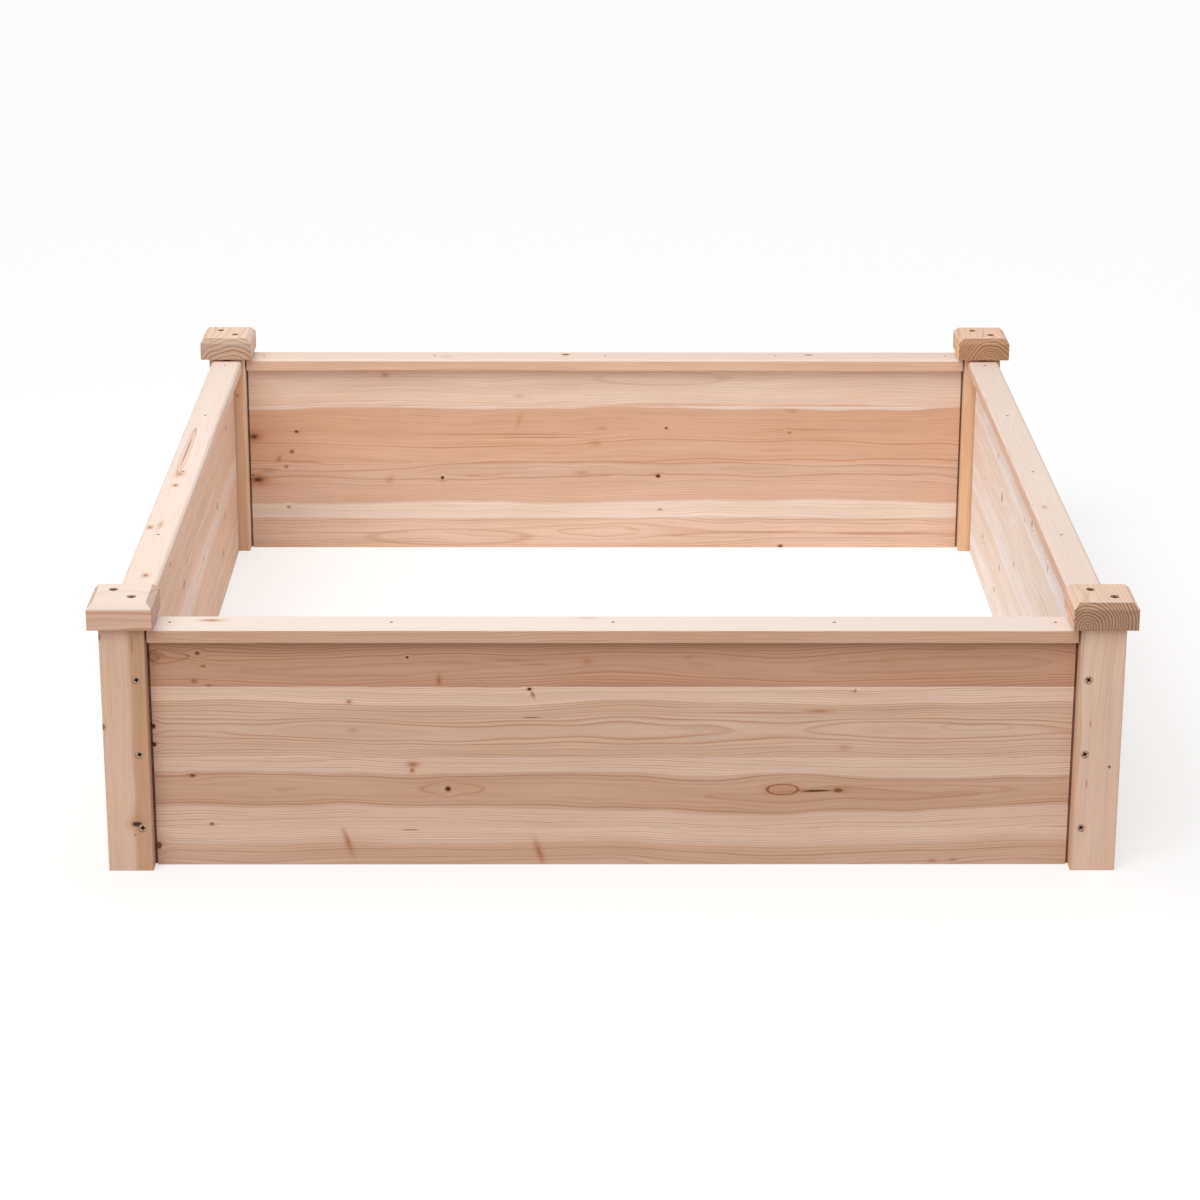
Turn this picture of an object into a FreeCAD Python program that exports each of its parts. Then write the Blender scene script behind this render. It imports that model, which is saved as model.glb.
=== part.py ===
"""A square raised garden bed: four grooved corner posts, four walls of edge-glued boards, top rails and caps.

All sizes are in millimetres. The bed stands on z = 0, centred on the origin, with its front towards -Y.
"""

import FreeCAD, Part
import os
import Sketcher
from FreeCAD import Placement, Rotation, Vector

os.makedirs("parts", exist_ok=True)
doc = FreeCAD.newDocument("raised_garden_bed")

# ---------------------------------------------------------------- sizes

DRIVING = [
    ("bed_width", "1196", "over the posts, left to right"),
    ("bed_depth", "1196", "over the posts, front to back"),
    ("post_width", "53", "side of the square post"),
    ("bottom_board_height", "48", "lowest board of a wall, ripped to width"),
    ("board_height", "90", "each of the two full boards above it"),
    ("top_board_height", "59.5", "highest board of a wall, ripped to width"),
    ("wall_thickness", "18", "thickness of every board"),
    ("tongue_thickness", "10.5", "tongue left on the end of a board"),
    ("tongue_length", "20", "from the board's shoulder to the end of its tongue"),
    ("shoulder_gap", "3", "open joint between a board's shoulder and the post"),
    ("tongue_side_clearance", "0.25", "groove wall to tongue, each side"),
    ("tongue_end_clearance", "1", "bottom of the groove to the tongue's end"),
    ("rail_width", "44", "across the flat rail on top of a wall"),
    ("rail_thickness", "18", "height of the rail"),
    ("rail_chamfer", "3", "easing of the rail's top edges"),
    ("rail_end_gap", "2", "rail end to post"),
    ("rail_drop", "3.5", "rail top to the underside of the caps"),
    ("cap_overhang", "11.5", "cap past the post, each side"),
    ("cap_thickness", "33", "height of the cap"),
    ("cap_chamfer", "7.5", "bevel on the cap's four top edges"),
    ("screw_shank", "5", "shank diameter of the wood screws"),
    ("screw_head", "10", "head diameter, 90 degree flat head"),
    ("screw_point", "5", "length of the tapered point"),
    ("screw_tip", "1", "diameter of the blunt end of the point"),
    ("screw_sink", "1.2", "head top below the wood's face"),
    ("cross_span", "5.4", "end to end across the cross recess"),
    ("cross_slot", "1.5", "width of one slot of the cross"),
    ("cross_depth", "2", "depth of the cross recess"),
    ("wall_screw_cover", "11.8", "wood between a wall screw's tip and the post's far face"),
    ("wall_screw_end_distance", "6", "wall screw to the end of the tongue it passes through"),
    ("wall_screw_bottom", "55", "lowest wall screw above the ground"),
    ("wall_screw_top", "44.5", "highest wall screw below the top of the wall"),
    ("side_screw_rise", "12", "the side walls' screws above the others, to pass them inside the post"),
    ("cap_screw_length", "60", "screw down through the cap into the post"),
    ("cap_screw_offset", "12.2", "cap screw off the cap's centre, both ways"),
    ("pin_shank", "2", "shank diameter of the finishing nails"),
    ("pin_head", "3.6", "head diameter of the finishing nails"),
    ("pin_head_thickness", "1", "height of the nail's head"),
    ("pin_length", "40", "length of the nail, with its head"),
    ("pin_point", "4", "length of the nail's tapered point"),
    ("pin_tip", "0.5", "diameter of the blunt end of the nail"),
    ("pin_sink", "0.6", "nail head below the rail's face"),
    ("pin_end_distance", "25", "outermost nail to the end of the rail"),
    ("hole_clearance", "0.25", "hole wall to screw or nail, all round"),
    ("drill_allowance", "1", "a blind hole past the end of its screw or nail"),
]

DERIVED = [
    ("wall_height", "bottom_board_height + 2 * board_height + top_board_height"),
    ("post_height", "wall_height + rail_thickness + rail_drop"),
    ("cap_width", "post_width + 2 * cap_overhang"),
    ("groove_width", "tongue_thickness + 2 * tongue_side_clearance"),
    ("groove_depth", "tongue_length - shoulder_gap + tongue_end_clearance"),
    ("head_hole", "screw_head + 2 * hole_clearance"),
    ("shank_hole", "screw_shank + 2 * hole_clearance"),
    ("screw_head_height", "(screw_head - screw_shank) / 2"),
    ("wall_screw_length", "post_width - wall_screw_cover - screw_sink"),
    ("wall_screw_inset", "tongue_length - shoulder_gap - wall_screw_end_distance"),
    ("wall_screw_hole_depth", "screw_sink + wall_screw_length + drill_allowance"),
    ("cap_pilot_depth", "screw_sink + cap_screw_length - cap_thickness + drill_allowance"),
    ("pin_head_hole", "pin_head + 2 * hole_clearance"),
    ("pin_head_hole_depth", "pin_sink + pin_head_thickness + hole_clearance"),
    ("pin_hole", "pin_shank + 2 * hole_clearance"),
    ("pin_pilot_depth", "pin_sink + pin_length - rail_thickness + drill_allowance"),
]

sizes = doc.addObject("Spreadsheet::Sheet", "sizes")
for row, (alias, value, note) in enumerate(DRIVING, start=1):
    sizes.set(f"A{row}", alias)
    sizes.set(f"B{row}", value)
    sizes.setAlias(f"B{row}", alias)
    sizes.set(f"C{row}", note)
for row, (alias, formula) in enumerate(DERIVED, start=len(DRIVING) + 2):
    sizes.set(f"A{row}", alias)
    sizes.set(f"B{row}", f"={formula}")
    sizes.setAlias(f"B{row}", alias)
doc.recompute()

SCREWS_PER_WALL_END = 3
PINS_PER_RAIL = 5

# The posts are one pattern, turned a quarter turn from corner to corner; so are the walls and rails.
# Each row has a name, the side of the bed in X and Y, and the turn in degrees.
CORNERS = [
    ("front_left", -1, -1, 0),
    ("front_right", 1, -1, 90),
    ("back_right", 1, 1, 180),
    ("back_left", -1, 1, 270),
]
WALLS = [
    ("front", 0, -1, 0, "bed_width"),
    ("right", 1, 0, 90, "bed_depth"),
    ("back", 0, 1, 180, "bed_width"),
    ("left", -1, 0, 270, "bed_depth"),
]
BOARDS = [
    ("board_1", "0", "bottom_board_height"),
    ("board_2", "sizes.bottom_board_height", "board_height"),
    ("board_3", "sizes.bottom_board_height + sizes.board_height", "board_height"),
    ("board_4", "sizes.bottom_board_height + 2 * sizes.board_height", "top_board_height"),
]
UP = Vector(0, 0, 1)


# ---------------------------------------------------------------- how a piece is drawn

def number(expression):
    """The value of an expression in the sheet's sizes."""
    return float(sizes.evalExpression(expression.replace("sizes.", "")))


def new_body(label):
    body = doc.addObject("PartDesign::Body", label)
    body.Label = label
    return body


def new_sketch(body, role, lift="0"):
    """A sketch on one of the body's own planes, lifted off it by an expression."""
    sketch = body.newObject("Sketcher::SketchObject", body.Name + "_sketch")
    plane = next(item for item in body.Origin.OriginFeatures if item.Role == role)
    sketch.AttachmentSupport = [(plane, "")]
    sketch.MapMode = "FlatFace"
    sketch.setExpression("AttachmentOffset.Base.z", lift)
    return sketch


def fix_point(sketch, geometry, point, x, y):
    """Ties a point to the sketch's origin by two expressions."""
    for kind, expression in (("DistanceX", x), ("DistanceY", y)):
        start = number(expression)
        index = sketch.addConstraint(Sketcher.Constraint(kind, -1, 1, geometry, point, start))
        sketch.setExpression(f"Constraints[{index}]", expression)


def add_polygon(sketch, corners):
    """A closed outline through corners, each a pair of expressions."""
    places = [Vector(number(x), number(y), 0) for x, y in corners]
    last = len(places) - 1
    for index, place in enumerate(places):
        following = places[0 if index == last else index + 1]
        sketch.addGeometry(Part.LineSegment(place, following))
    for index in range(len(places)):
        following = 0 if index == last else index + 1
        sketch.addConstraint(Sketcher.Constraint("Coincident", index, 2, following, 1))
    for index, (x, y) in enumerate(corners):
        fix_point(sketch, index, 1, x, y)


def add_circles(sketch, centres, diameter):
    """One circle at each centre, all of one diameter."""
    for x, y in centres:
        centre = Vector(number(x), number(y), 0)
        circle = sketch.addGeometry(Part.Circle(centre, UP, number(diameter) / 2))
        fix_point(sketch, circle, 3, x, y)
        index = sketch.addConstraint(Sketcher.Constraint("Diameter", circle, number(diameter)))
        sketch.setExpression(f"Constraints[{index}]", diameter)


def add_pad(body, sketch, length):
    pad = body.newObject("PartDesign::Pad", body.Name + "_pad")
    pad.Profile = sketch
    pad.setExpression("Length", length)
    doc.recompute()
    return pad


def require_cut(body, before):
    """Every cut has to take wood or steel away."""
    doc.recompute()
    if body.Shape.Volume >= before:
        raise RuntimeError(f"{body.Label}: a cut took nothing away")


def add_hole(body, sketch, diameter, depth=None, cut=None, inwards=True):
    """Drills a sketch's circles. cut is (kind, diameter, depth) of the wider mouth."""
    doc.recompute()
    before = body.Shape.Volume
    hole = body.newObject("PartDesign::Hole", body.Name + "_hole")
    hole.Profile = sketch
    hole.Reversed = not inwards
    hole.setExpression("Diameter", diameter)
    if depth is None:
        hole.DepthType = "ThroughAll"
    else:
        hole.DepthType = "Dimension"
        hole.setExpression("Depth", depth)
        hole.DrillPoint = "Flat"
    if cut is not None:
        kind, cut_diameter, cut_depth = cut
        hole.HoleCutType = kind
        hole.HoleCutCustomValues = True
        hole.setExpression("HoleCutDiameter", cut_diameter)
        hole.setExpression("HoleCutDepth", cut_depth)
        if kind == "Counterdrill":
            hole.HoleCutCountersinkAngle = 90
    require_cut(body, before)


def add_pocket(body, sketch, depth=None):
    """Cuts a sketch's outline away, both ways right through if no depth is given."""
    doc.recompute()
    before = body.Shape.Volume
    pocket = body.newObject("PartDesign::Pocket", body.Name + "_pocket")
    pocket.Profile = sketch
    if depth is None:
        pocket.Type = "ThroughAll"
        pocket.Midplane = True
    else:
        pocket.setExpression("Length", depth)
    require_cut(body, before)


def add_top_chamfer(body, feature, height, chamfer_size):
    """Bevels every edge that lies in the top face."""
    top = number(height)
    edges = []
    for index, edge in enumerate(feature.Shape.Edges, start=1):
        if all(abs(corner.Z - top) < 1e-4 for corner in edge.Vertexes):
            edges.append(f"Edge{index}")
    chamfer = body.newObject("PartDesign::Chamfer", body.Name + "_chamfer")
    chamfer.Base = (feature, edges)
    chamfer.setExpression("Size", chamfer_size)
    doc.recompute()


def place(item, side_x, side_y, turn, z="0"):
    """Turns a piece about the vertical and centres it on a post, or on the wall between two posts.

    The middle plane of a wall runs through the middle of its posts, so both follow one rule: a side
    of -1 or 1 is out at the posts' middle, and a side of 0 is halfway between them.
    """
    item.Placement = Placement(Vector(), Rotation(UP, turn))
    item.setExpression("Placement.Base.x", f"{side_x} * (sizes.bed_width - sizes.post_width) / 2")
    item.setExpression("Placement.Base.y", f"{side_y} * (sizes.bed_depth - sizes.post_width) / 2")
    item.setExpression("Placement.Base.z", z)


# ---------------------------------------------------------------- fixings

def make_revolved(label, outline):
    """A turned piece, from its half section in the XZ plane."""
    body = new_body(label)
    sketch = new_sketch(body, "XZ_Plane")
    add_polygon(sketch, outline)
    turned = body.newObject("PartDesign::Revolution", label + "_turned")
    turned.Profile = sketch
    turned.ReferenceAxis = (sketch, ["V_Axis"])
    turned.Angle = 360
    doc.recompute()
    return body


def make_screw(label, length):
    """A flat-head wood screw with a cross recess. Its head's top is at z = 0 and its point is below."""
    shank = "sizes.screw_shank / 2"
    head = "sizes.screw_head / 2"
    tip = "sizes.screw_tip / 2"
    outline = [
        ("0", "0"),
        (head, "0"),
        (shank, "-sizes.screw_head_height"),
        (shank, f"sizes.screw_point - {length}"),
        (tip, f"-{length}"),
        ("0", f"-{length}"),
    ]
    body = make_revolved(label, outline)
    reach = "sizes.cross_span / 2"
    slot = "sizes.cross_slot / 2"
    cross = [
        (reach, slot), (slot, slot), (slot, reach), (f"-{slot}", reach),
        (f"-{slot}", slot), (f"-{reach}", slot), (f"-{reach}", f"-{slot}"), (f"-{slot}", f"-{slot}"),
        (f"-{slot}", f"-{reach}"), (slot, f"-{reach}"), (slot, f"-{slot}"), (reach, f"-{slot}"),
    ]
    sketch = new_sketch(body, "XY_Plane")
    add_polygon(sketch, cross)
    add_pocket(body, sketch, "sizes.cross_depth")
    return body


def make_pin(label):
    """A finishing nail with a small flat head, its head's top at z = 0."""
    shank = "sizes.pin_shank / 2"
    head = "sizes.pin_head / 2"
    tip = "sizes.pin_tip / 2"
    outline = [
        ("0", "0"),
        (head, "0"),
        (head, "-sizes.pin_head_thickness"),
        (shank, "-sizes.pin_head_thickness"),
        (shank, "sizes.pin_point - sizes.pin_length"),
        (tip, "-sizes.pin_length"),
        ("0", "-sizes.pin_length"),
    ]
    return make_revolved(label, outline)


def make_group(label, pattern, places):
    """Copies of one fixing as a group of separate solids. places are (rotation, x, y, z)."""
    copies = []
    for index, (rotation, x, y, z) in enumerate(places, start=1):
        copy = doc.addObject("App::Link", f"{label}_{index}")
        copy.LinkedObject = pattern
        copy.Placement = Placement(Vector(), rotation)
        copy.setExpression("Placement.Base.x", x)
        copy.setExpression("Placement.Base.y", y)
        copy.setExpression("Placement.Base.z", z)
        copies.append(copy)
    group = doc.addObject("Part::Compound", label)
    group.Label = label
    group.Links = copies
    return group


# Where the fixings go: both the wood's holes and the fixings themselves read these.
WALL_SCREW_ALONG_FACE = "sizes.post_width / 2 - sizes.wall_screw_inset"
CAP_SCREW_CENTRES = [
    ("sizes.cap_screw_offset", "-sizes.cap_screw_offset"),
    ("-sizes.cap_screw_offset", "sizes.cap_screw_offset"),
]


def wall_screw_heights(in_side_wall):
    """Heights above the ground, evenly spaced from the lowest screw to the highest."""
    rise = "sizes.side_screw_rise" if in_side_wall else "0"
    spread = "(sizes.wall_height - sizes.wall_screw_top - sizes.wall_screw_bottom)"
    steps = SCREWS_PER_WALL_END - 1
    return [
        f"sizes.wall_screw_bottom + {rise} + {step} / {steps} * {spread}"
        for step in range(SCREWS_PER_WALL_END)
    ]


def pin_centres(span):
    """Places along a rail, evenly spaced from the nail near one end to the nail near the other."""
    outermost = f"(sizes.{span} / 2 - sizes.post_width - sizes.rail_end_gap - sizes.pin_end_distance)"
    steps = PINS_PER_RAIL - 1
    return [(f"(2 * {step} / {steps} - 1) * {outermost}", "0") for step in range(PINS_PER_RAIL)]


# ---------------------------------------------------------------- posts

def side_wall_face(turn):
    """Which of a post's own two outer faces is towards a side wall of the bed, once it is turned."""
    return "YZ_Plane" if turn in (0, 180) else "XZ_Plane"


def make_post(label, turn):
    """A post as it stands at the front left corner, with its grooves towards +X and +Y."""
    edge = "sizes.post_width / 2"
    side = "sizes.groove_width / 2"
    floor = "sizes.post_width / 2 - sizes.groove_depth"
    section = [
        (f"-{edge}", f"-{edge}"), (edge, f"-{edge}"),
        (edge, f"-{side}"), (floor, f"-{side}"), (floor, side), (edge, side),
        (edge, edge),
        (side, edge), (side, floor), (f"-{side}", floor), (f"-{side}", edge),
        (f"-{edge}", edge),
    ]
    body = new_body(label)
    sketch = new_sketch(body, "XY_Plane")
    add_polygon(sketch, section)
    add_pad(body, sketch, "sizes.post_height")

    # Counterdrilled screw holes, three down each outer face.
    mouth = ("Counterdrill", "sizes.head_hole", "sizes.screw_sink")
    for role, lift, inwards in (("XZ_Plane", edge, True), ("YZ_Plane", f"-{edge}", False)):
        heights = wall_screw_heights(role == side_wall_face(turn))
        face = new_sketch(body, role, lift)
        add_circles(face, [(WALL_SCREW_ALONG_FACE, height) for height in heights], "sizes.shank_hole")
        add_hole(body, face, "sizes.shank_hole", "sizes.wall_screw_hole_depth", mouth, inwards)

    # Two pilot holes in the top, under the cap's screws. The caps aren't turned with the posts, so a
    # quarter turn puts the holes on the post's other diagonal.
    top = new_sketch(body, "XY_Plane", "sizes.post_height")
    centres = [(y, y) if turn in (90, 270) else (x, y) for x, y in CAP_SCREW_CENTRES]
    add_circles(top, centres, "sizes.shank_hole")
    add_hole(body, top, "sizes.shank_hole", "sizes.cap_pilot_depth")
    return body


for corner, side_x, side_y, turn in CORNERS:
    post = make_post(f"post_{corner}", turn)
    place(post, side_x, side_y, turn)

# ---------------------------------------------------------------- walls

def make_board(label, span, bottom, height, is_top):
    """One board of a wall, centred on the wall, with a tongue on each end."""
    in_side_wall = span == "bed_depth"
    shoulder = f"sizes.{span} / 2 - sizes.post_width - sizes.shoulder_gap"
    end = f"({shoulder} + sizes.tongue_length)"
    shoulder = f"({shoulder})"
    face = "sizes.wall_thickness / 2"
    cheek = "sizes.tongue_thickness / 2"
    outline = [
        (f"-{shoulder}", f"-{face}"), (shoulder, f"-{face}"),
        (shoulder, f"-{cheek}"), (end, f"-{cheek}"), (end, cheek), (shoulder, cheek),
        (shoulder, face), (f"-{shoulder}", face),
        (f"-{shoulder}", cheek), (f"-{end}", cheek), (f"-{end}", f"-{cheek}"), (f"-{shoulder}", f"-{cheek}"),
    ]
    body = new_body(label)
    sketch = new_sketch(body, "XY_Plane")
    add_polygon(sketch, outline)
    add_pad(body, sketch, height)

    # The wall screws pass through the tongues of the boards at their height.
    along = f"(sizes.{span} / 2 - sizes.post_width + sizes.wall_screw_inset)"
    radius = number("sizes.shank_hole / 2")
    centres = []
    for screw in wall_screw_heights(in_side_wall):
        above = f"{screw} - ({bottom})"
        if -radius < number(above) < number(height) + radius:
            centres += [(along, above), (f"-{along}", above)]
    if centres:
        front = new_sketch(body, "XZ_Plane")
        add_circles(front, centres, "sizes.shank_hole")
        add_pocket(body, front)

    # The rail's nails go down into the top board.
    if is_top:
        top = new_sketch(body, "XY_Plane", height)
        add_circles(top, pin_centres(span), "sizes.pin_hole")
        add_hole(body, top, "sizes.pin_hole", "sizes.pin_pilot_depth")
    return body


for wall, side_x, side_y, turn, span in WALLS:
    for name, bottom, height in BOARDS:
        is_top = name == BOARDS[-1][0]
        board = make_board(f"{wall}_{name}", span, bottom, f"sizes.{height}", is_top)
        place(board, side_x, side_y, turn, bottom)

# ---------------------------------------------------------------- top rails

def make_rail(label, span):
    """A flat rail with eased top edges, counterbored for its nails."""
    end = f"(sizes.{span} / 2 - sizes.post_width - sizes.rail_end_gap)"
    edge = "sizes.rail_width / 2"
    outline = [(f"-{end}", f"-{edge}"), (end, f"-{edge}"), (end, edge), (f"-{end}", edge)]
    body = new_body(label)
    sketch = new_sketch(body, "XY_Plane")
    add_polygon(sketch, outline)
    pad = add_pad(body, sketch, "sizes.rail_thickness")
    add_top_chamfer(body, pad, "sizes.rail_thickness", "sizes.rail_chamfer")
    top = new_sketch(body, "XY_Plane", "sizes.rail_thickness")
    add_circles(top, pin_centres(span), "sizes.pin_hole")
    mouth = ("Counterbore", "sizes.pin_head_hole", "sizes.pin_head_hole_depth")
    add_hole(body, top, "sizes.pin_hole", cut=mouth)
    return body


for wall, side_x, side_y, turn, span in WALLS:
    rail = make_rail(f"rail_{wall}", span)
    place(rail, side_x, side_y, turn, "sizes.wall_height")

# ---------------------------------------------------------------- caps

def make_cap(label):
    """A square cap, bevelled on top, with its two screw holes on one diagonal."""
    edge = "sizes.cap_width / 2"
    outline = [(f"-{edge}", f"-{edge}"), (edge, f"-{edge}"), (edge, edge), (f"-{edge}", edge)]
    body = new_body(label)
    sketch = new_sketch(body, "XY_Plane")
    add_polygon(sketch, outline)
    pad = add_pad(body, sketch, "sizes.cap_thickness")
    add_top_chamfer(body, pad, "sizes.cap_thickness", "sizes.cap_chamfer")
    top = new_sketch(body, "XY_Plane", "sizes.cap_thickness")
    add_circles(top, CAP_SCREW_CENTRES, "sizes.shank_hole")
    mouth = ("Counterdrill", "sizes.head_hole", "sizes.screw_sink")
    add_hole(body, top, "sizes.shank_hole", cut=mouth)
    return body


for corner, side_x, side_y, turn in CORNERS:
    cap = make_cap(f"cap_{corner}")
    place(cap, side_x, side_y, 0, "sizes.post_height")

# ---------------------------------------------------------------- screws and nails in their holes

wall_screw = make_screw("wall_screw_pattern", "sizes.wall_screw_length")
cap_screw = make_screw("cap_screw_pattern", "sizes.cap_screw_length")
pin = make_pin("pin_pattern")

# A screw is driven in along +Y from a post's own front face, and along +X from its own side face.
INTO_FRONT = Rotation(Vector(1, 0, 0), 90)
INTO_SIDE = Rotation(Vector(0, 1, 0), -90)
DOWN = Rotation()
SUNK_FACE = "sizes.screw_sink - sizes.post_width / 2"

for corner, side_x, side_y, turn in CORNERS:
    front_heights = wall_screw_heights(side_wall_face(turn) == "XZ_Plane")
    side_heights = wall_screw_heights(side_wall_face(turn) == "YZ_Plane")
    places = [(INTO_FRONT, WALL_SCREW_ALONG_FACE, SUNK_FACE, height) for height in front_heights]
    places += [(INTO_SIDE, SUNK_FACE, WALL_SCREW_ALONG_FACE, height) for height in side_heights]
    screws = make_group(f"post_screws_{corner}", wall_screw, places)
    place(screws, side_x, side_y, turn)

    places = [(DOWN, x, y, "sizes.cap_thickness - sizes.screw_sink") for x, y in CAP_SCREW_CENTRES]
    screws = make_group(f"cap_screws_{corner}", cap_screw, places)
    place(screws, side_x, side_y, 0, "sizes.post_height")

for wall, side_x, side_y, turn, span in WALLS:
    places = [(DOWN, x, y, "sizes.rail_thickness - sizes.pin_sink") for x, y in pin_centres(span)]
    pins = make_group(f"rail_pins_{wall}", pin, places)
    place(pins, side_x, side_y, turn, "sizes.wall_height")

doc.recompute()

# ---------------------------------------------------------------- the nodes

NODES = [f"post_{corner[0]}" for corner in CORNERS]
NODES += [f"{wall[0]}_{board[0]}" for wall in WALLS for board in BOARDS]
NODES += [f"rail_{wall[0]}" for wall in WALLS]
NODES += [f"cap_{corner[0]}" for corner in CORNERS]
NODES += [f"post_screws_{corner[0]}" for corner in CORNERS]
NODES += [f"cap_screws_{corner[0]}" for corner in CORNERS]
NODES += [f"rail_pins_{wall[0]}" for wall in WALLS]
SOLIDS = {
    "post_screws": 2 * SCREWS_PER_WALL_END,
    "cap_screws": len(CAP_SCREW_CENTRES),
    "rail_pins": PINS_PER_RAIL,
}

for item in doc.Objects:
    if "Invalid" in item.State or "Error" in item.State:
        raise RuntimeError(f"{item.Label} did not build: {item.State}")
for node in NODES:
    shape = doc.getObjectsByLabel(node)[0].Shape
    wanted = next((count for group, count in SOLIDS.items() if node.startswith(group)), 1)
    if shape.isNull() or not shape.isValid() or len(shape.Solids) != wanted:
        raise RuntimeError(f"{node}: the shape is missing, broken or has the wrong number of solids")
for node in NODES:
    doc.getObjectsByLabel(node)[0].Shape.exportStep(f"parts/{node}.step")
print(f"wrote {len(NODES)} nodes")
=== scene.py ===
import math

import bmesh
import bpy
from mathutils import Euler, Matrix, Vector


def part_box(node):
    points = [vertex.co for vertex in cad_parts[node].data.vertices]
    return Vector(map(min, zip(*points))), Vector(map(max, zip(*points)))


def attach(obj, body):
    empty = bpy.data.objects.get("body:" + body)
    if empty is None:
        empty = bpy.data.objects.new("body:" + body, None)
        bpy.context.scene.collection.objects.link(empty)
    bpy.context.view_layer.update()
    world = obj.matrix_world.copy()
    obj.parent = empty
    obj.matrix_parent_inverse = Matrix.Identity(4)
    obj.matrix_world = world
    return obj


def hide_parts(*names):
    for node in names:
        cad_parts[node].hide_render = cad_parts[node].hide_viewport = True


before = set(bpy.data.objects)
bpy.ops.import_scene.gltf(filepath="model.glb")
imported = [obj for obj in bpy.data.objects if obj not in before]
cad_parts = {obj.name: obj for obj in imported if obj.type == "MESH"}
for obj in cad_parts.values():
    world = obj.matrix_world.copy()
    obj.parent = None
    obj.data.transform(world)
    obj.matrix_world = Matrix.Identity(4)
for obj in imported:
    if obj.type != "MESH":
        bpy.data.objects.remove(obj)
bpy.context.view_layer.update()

# ----------------------------------------------------------------------------------------------
# Corner posts. Four square fir posts, planed on all sides and lightly sanded along the arrises.
# Each has a groove down its two inner faces, which takes the tongues of the wall boards.
# ----------------------------------------------------------------------------------------------
MM = 0.001
POST_ARRIS = 1.0 * MM
POST_SHORTEST_EDGE = 20 * MM
LONGEST_RIM_EDGE = 3 * MM
SCREW_RIM = 0.5 * MM
SAME_POINT = 0.001 * MM
FLAT_ANGLE, SHARP_ANGLE = math.radians(0.5), math.radians(35)
POST_TURN = (0.0, math.radians(-90), 0.0)
POST_FRONT = -26.5        # mm from the post's middle to the face that its marks lie on
POST_SEED = 3.0

# Where the pith of the tree lay, from the post's middle, how far the heartwood reaches (mm), and how
# strongly the latewood lines show.
POST_LOGS = {
    "post_front_left": {"pith": (-10, -45), "heart_radius": 41, "heart": "CDA284", "sap": "E5C2AD",
                        "lines": 0.35},
    "post_front_right": {"pith": (4, 60), "heart_radius": 48, "heart": "DBB192", "sap": "E6C5B2",
                         "lines": 0.3},
    "post_back_right": {"pith": (20, 18), "heart_radius": 120, "heart": "E4BD9A", "sap": "DCC5B8",
                        "lines": 0.7},
    "post_back_left": {"pith": (-14, 30), "heart_radius": 58, "heart": "E5C2A3", "sap": "EFD1B9",
                       "lines": 0.7},
}

# What lies in the grain: its kind, its place along and across the grain, its half length and half
# height (mm), and how dark it is.
POST_MARKS = {
    "post_front_left": (
        ("knot", 142, 26, 4, 2.5, 0.7), ("streak", 133, -12, 14, 1.6, 0.5), ("knot", 30, 26, 4, 3, 0.8),
        ("knot", -94, -9, 3.6, 6.5, 1.0), ("smudge", -88, -9, 26, 6, 0.35), ("knot", -108, -7, 1.3, 1.1, 0.8),
    ),
    "post_front_right": (
        ("knot", -21, -14, 2, 1.6, 0.9), ("streak", 34, 11, 6, 1.2, 0.5), ("streak", -43, 12, 6, 1.2, 0.5),
    ),
    "post_back_right": (("knot", 60, -6, 4, 2.5, 0.7),),
    "post_back_left": (("knot", -20, 8, 5, 2.5, 0.7), ("knot", 95, -14, 3, 2, 0.6)),
}


def linear(code):
    """An sRGB hex colour as the linear colour that a shader takes."""
    channels = [int(code[i:i + 2], 16) / 255 for i in (0, 2, 4)]
    return tuple(c / 12.92 if c <= 0.04045 else ((c + 0.055) / 1.055) ** 2.4 for c in channels) + (1.0,)


def add_node(tree, kind, inputs=None, **settings):
    """Adds a node with its settings, and fills or links its inputs."""
    node = tree.nodes.new(kind)
    for name, value in settings.items():
        setattr(node, name, value)
    for socket, value in (inputs or {}).items():
        if isinstance(value, bpy.types.NodeSocket):
            tree.links.new(value, node.inputs[socket])
        else:
            node.inputs[socket].default_value = value
    return node


# How each kind looks: how far it leans against the grain, how light its middle stays, how softly it
# ends, how much it pushes the grain aside, how much resin surrounds it, and how uneven its edge is.
PLAIN_MARK = {"lean": 0.0, "hollow": 0.0, "push": 0.0}
MARK_KINDS = {
    "knot": {"soft": 0.3, "push": 0.7, "resin": 0.6, "ragged": 0.7},
    "ring": {"hollow": 0.85, "soft": 0.05, "push": 0.6, "resin": 0.4, "ragged": 0.3},
    "branch": {"lean": 0.3, "soft": 1.0, "resin": 0.5, "ragged": 0.9},
    "streak": {"soft": 0.6, "resin": 0.3, "ragged": 0.5},
    "smudge": {"soft": 1.0, "resin": 0.4, "ragged": 0.7},
    "lens": {"hollow": 0.9, "soft": 0.05, "resin": 0.0, "ragged": 0.05},
}

# In a mark's half sizes: where its core ends, where a hollow one's outline starts and is full, and
# between which distances its halo of resin and the parted grain fade out.
CORE_END = 1.15
OUTLINE = (0.78, 0.97)
HALO = (0.6, 1.9)
PARTING = (0.5, 5.0)


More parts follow.
